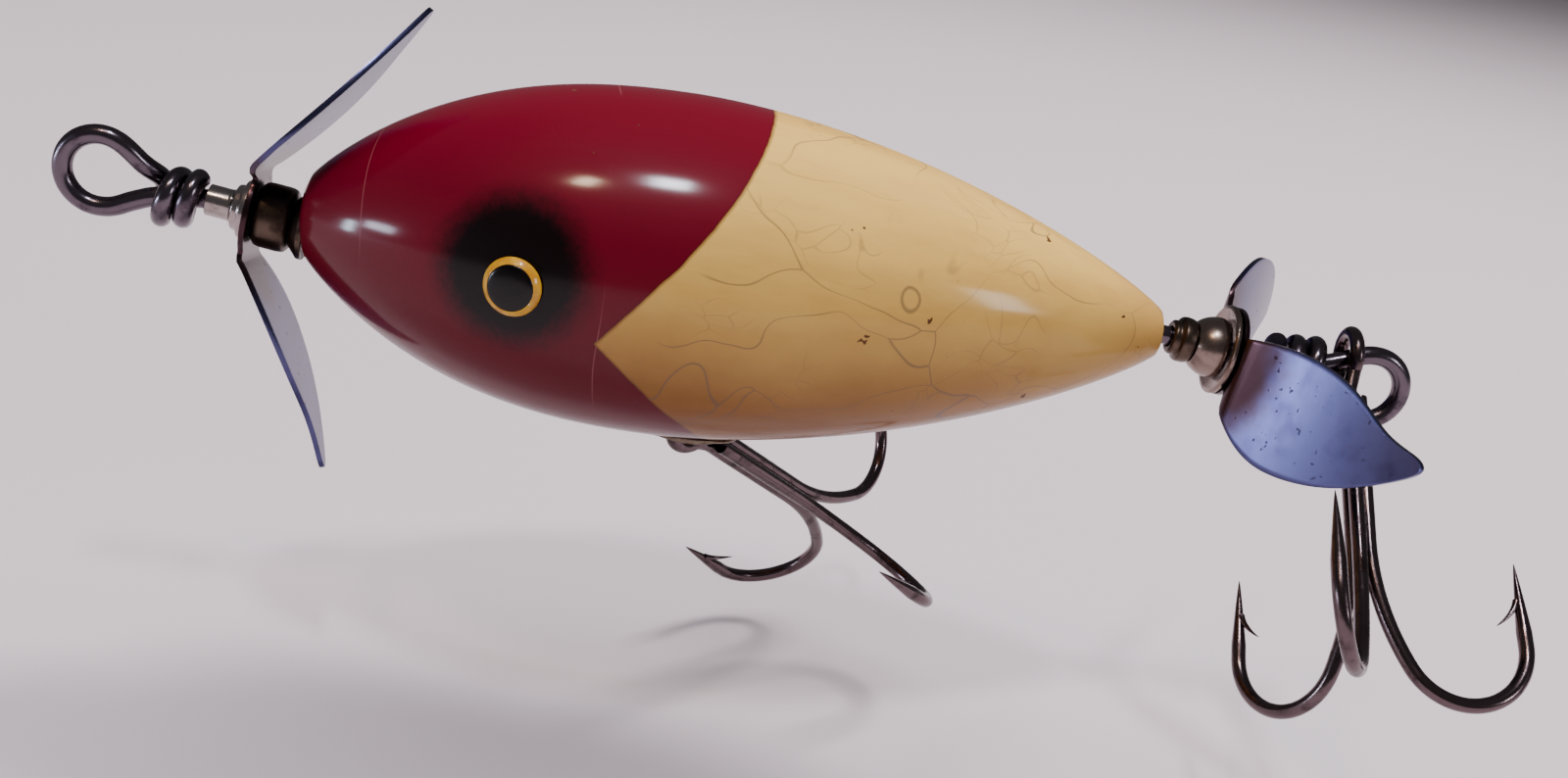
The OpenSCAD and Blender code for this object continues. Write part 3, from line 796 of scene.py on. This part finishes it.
TACK_R = 2.425
PUPIL_R = 1.93
for side, name in ((-1, "left"), (1, "right")):
    slope = atan2(body_profile(EYE_AT + 1) - body_profile(EYE_AT - 1), 2)
    place = (Matrix.Translation((nose_x + EYE_AT, 0, axis_z))
             @ Matrix.Rotation(side * (EYE_LIFT - pi / 2), 4, "X")
             @ Matrix.Translation((0, 0, body_profile(EYE_AT))) @ Matrix.Rotation(-slope, 4, "Y"))
    ring_points = [Vector(p) for p in (
        (PUPIL_R - 0.1, 0.1), (TACK_R - 0.15, 0.02), (TACK_R, 0.2), (TACK_R * 0.96, 0.42),
        (TACK_R * 0.87, 0.64), (PUPIL_R, 0.79), (PUPIL_R - 0.1, 0.72))]
    fit(lathe(name + "_eye_ring", eased(ring_points, 0.1), place, 96),
        name + "_eye_tack", "eye_ring")
    dome_r, dome_from, dome_h = PUPIL_R - 0.02, 0.7, 0.33
    dome = [Vector((0, 0.0)), Vector((dome_r, 0.05))] + [
        Vector((dome_r * cos(radians(a)), dome_from + dome_h * sin(radians(a))))
        for a in range(0, 90, 10)] + [Vector((0, dome_from + dome_h))]
    pupil = solid_lathe(name + "_eye_pupil", dome, place, 96)
    extra(pupil, "lure_body", "eye_pupil")

# ---- floor, light and camera ----

floor_shade = Shader("pale_floor")
floor_shade.set(Base_Color=rgb(204, 194, 202), Roughness=0.9)
bpy.ops.mesh.primitive_plane_add(size=4.0, location=(0.05, 0.4, floor_z * MM))
floor = bpy.context.object
floor.name = "floor"
floor.data.materials.append(floor_shade.material)

middle = Vector((0.055, -0.01, 0.002))    # the lights face this place on the lure


def area_light(name, way, distance, size, power, colour, mirrored=True):
    """Soft rectangular light that faces the lure."""
    way = Vector(way).normalized()
    data = bpy.data.lights.new(name, "AREA")
    data.shape, data.size, data.size_y = "RECTANGLE", size[0], size[1]
    data.energy, data.color = power, colour
    obj = bpy.data.objects.new(name, data)
    obj.location = middle + way * distance
    obj.rotation_euler = (-way).to_track_quat("-Z", "Y").to_euler()
    obj.visible_glossy = mirrored
    bpy.context.scene.collection.objects.link(obj)


area_light("sky_window", (-0.02, -0.36, 0.94), 0.75, (0.06, 0.08), 2.6, (0.86, 0.92, 1.0))
area_light("warm_lamp", (-0.26, -0.42, 0.87), 0.75, (0.045, 0.07), 1.1, (1.0, 0.78, 0.55))
area_light("side_window", (-0.93, -0.33, 0.06), 0.6, (0.10, 0.045), 0.7, (0.74, 0.82, 1.0))
area_light("right_fill", (0.78, -0.57, 0.30), 0.7, (0.08, 0.16), 0.8, (0.90, 0.93, 1.0))
area_light("ceiling", (0.1, 0.3, 1.0), 1.1, (1.0, 1.0), 11.5, (1.0, 0.95, 0.93), False)
area_light("key", (0.45, 0.35, 0.85), 0.9, (0.22, 0.22), 7.5, (1.0, 0.95, 0.92), False)
area_light("blade_glint", (-0.985, -0.161, -0.065), 0.557, (0.03, 0.12), 0.8, (0.66, 0.84, 1.0))

world = bpy.data.worlds.new("studio")
bpy.context.scene.world = world
world.use_nodes = True
sky = world.node_tree.nodes["Background"]
sky.inputs["Color"].default_value = (0.80, 0.80, 0.84, 1.0)
sky.inputs["Strength"].default_value = 0.16

camera_data = bpy.data.cameras.new("camera")
camera_data.lens, camera_data.sensor_width = 38.25, 36.0
camera_data.clip_start, camera_data.clip_end = 0.01, 20.0
camera = bpy.data.objects.new("camera", camera_data)
eye_point = Vector((0.04756, -0.13967, 0.03911))
look = Vector((0.0837, 0.9374, -0.3380)).normalized()
above = Vector((-0.1325, 0.3466, 0.9286))
right = look.cross(above).normalized()
camera.matrix_world = (Matrix.Translation(eye_point)
                       @ Matrix((right, right.cross(look), -look)).transposed().to_4x4())
bpy.context.scene.collection.objects.link(camera)
bpy.context.scene.camera = camera
